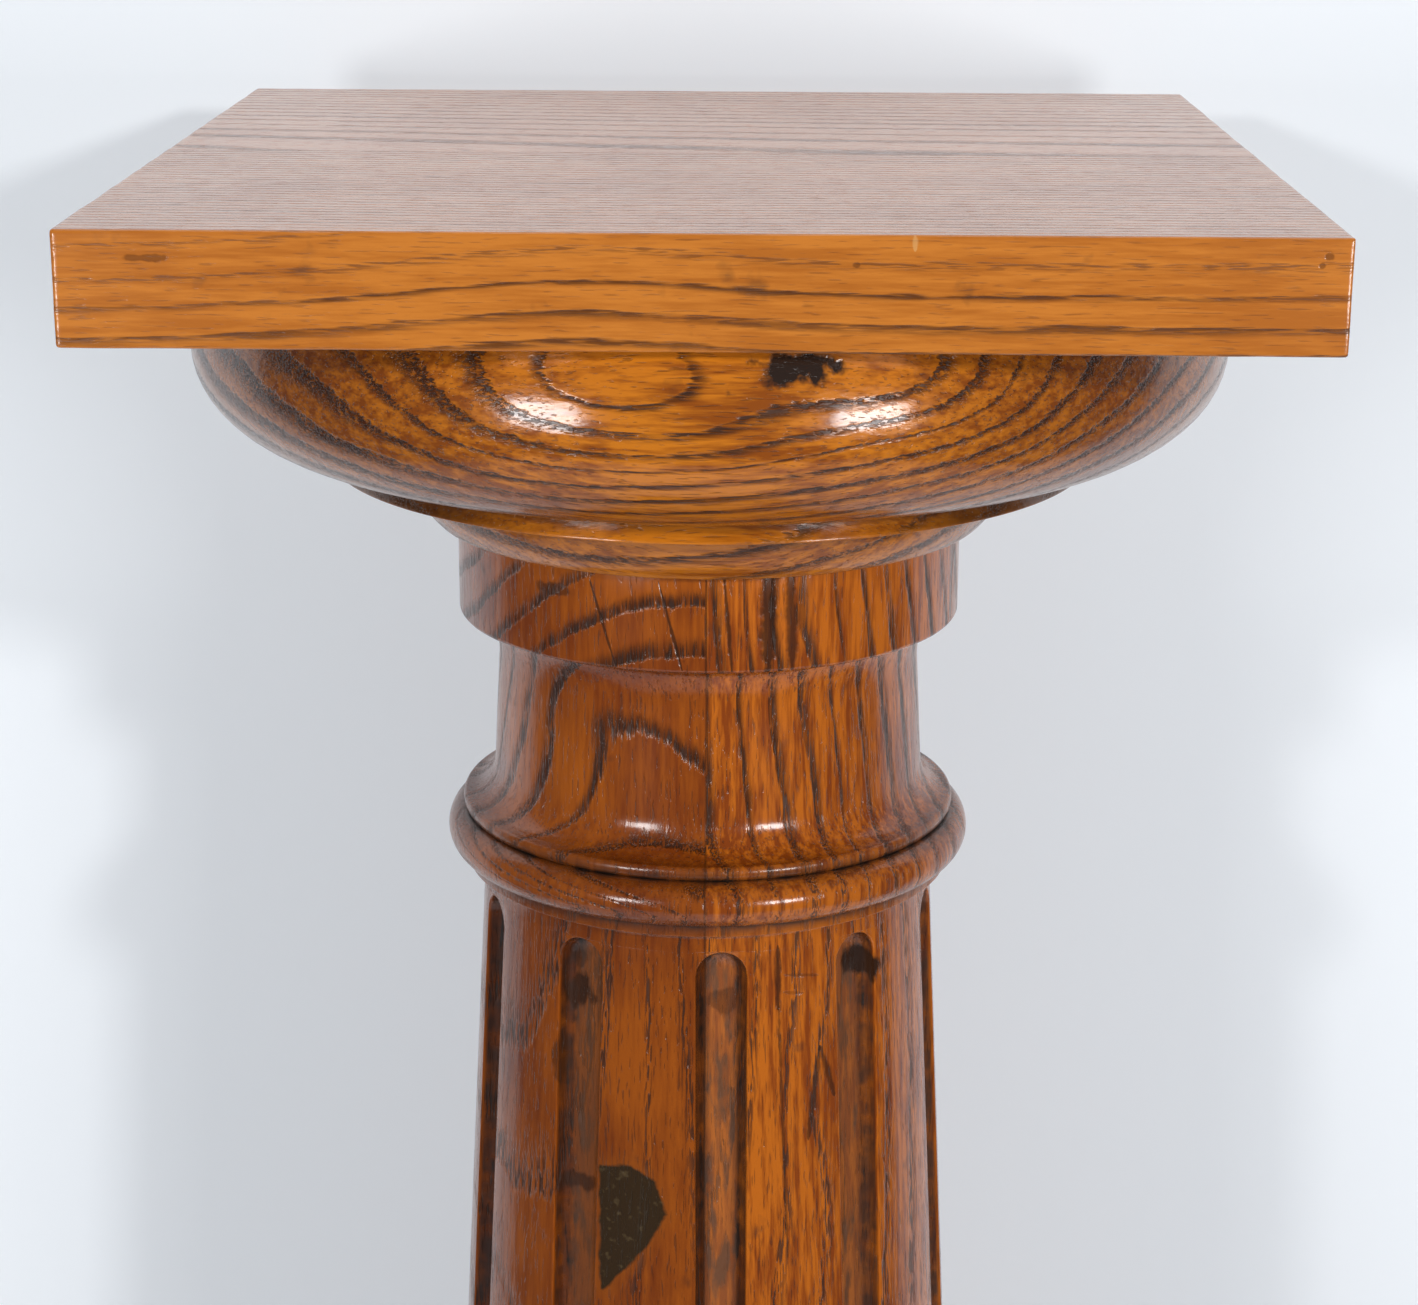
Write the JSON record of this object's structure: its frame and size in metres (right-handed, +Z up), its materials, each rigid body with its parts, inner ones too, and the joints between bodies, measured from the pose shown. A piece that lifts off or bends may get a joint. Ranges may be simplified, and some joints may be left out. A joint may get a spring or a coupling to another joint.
{
  "type": "wooden column",
  "caption": "Turned and fluted oak column with a square board on top, a bowl-shaped capital, a tapering shaft, a turned base and a square plinth, to stand a vase or bust on.",
  "frame": {"origin": "middle of the plinth's underside, on the floor", "axes": "+Z up along the column, +X along the grain of the top board, -Y towards the front that the picture shows"},
  "size_m": [0.3, 0.3, 1.05],
  "materials": {
    "board_oak": "satin varnish, honey oak with wavy dark growth lines along the board",
    "capital_oak": "gloss varnish, orange-brown oak with horizontal grain",
    "shaft_oak": "gloss varnish, orange-brown oak with upright grain, dark in the flutes",
    "base_oak": "gloss varnish, orange-brown oak with horizontal grain",
    "plinth_oak": "satin varnish, orange-brown oak with horizontal grain"
  },
  "bodies": {
    "root": {"top_plate": "board_oak", "capital": "capital_oak", "shaft": "shaft_oak", "base_moulding": "base_oak", "plinth": "plinth_oak"}
  },
  "joints": []
}
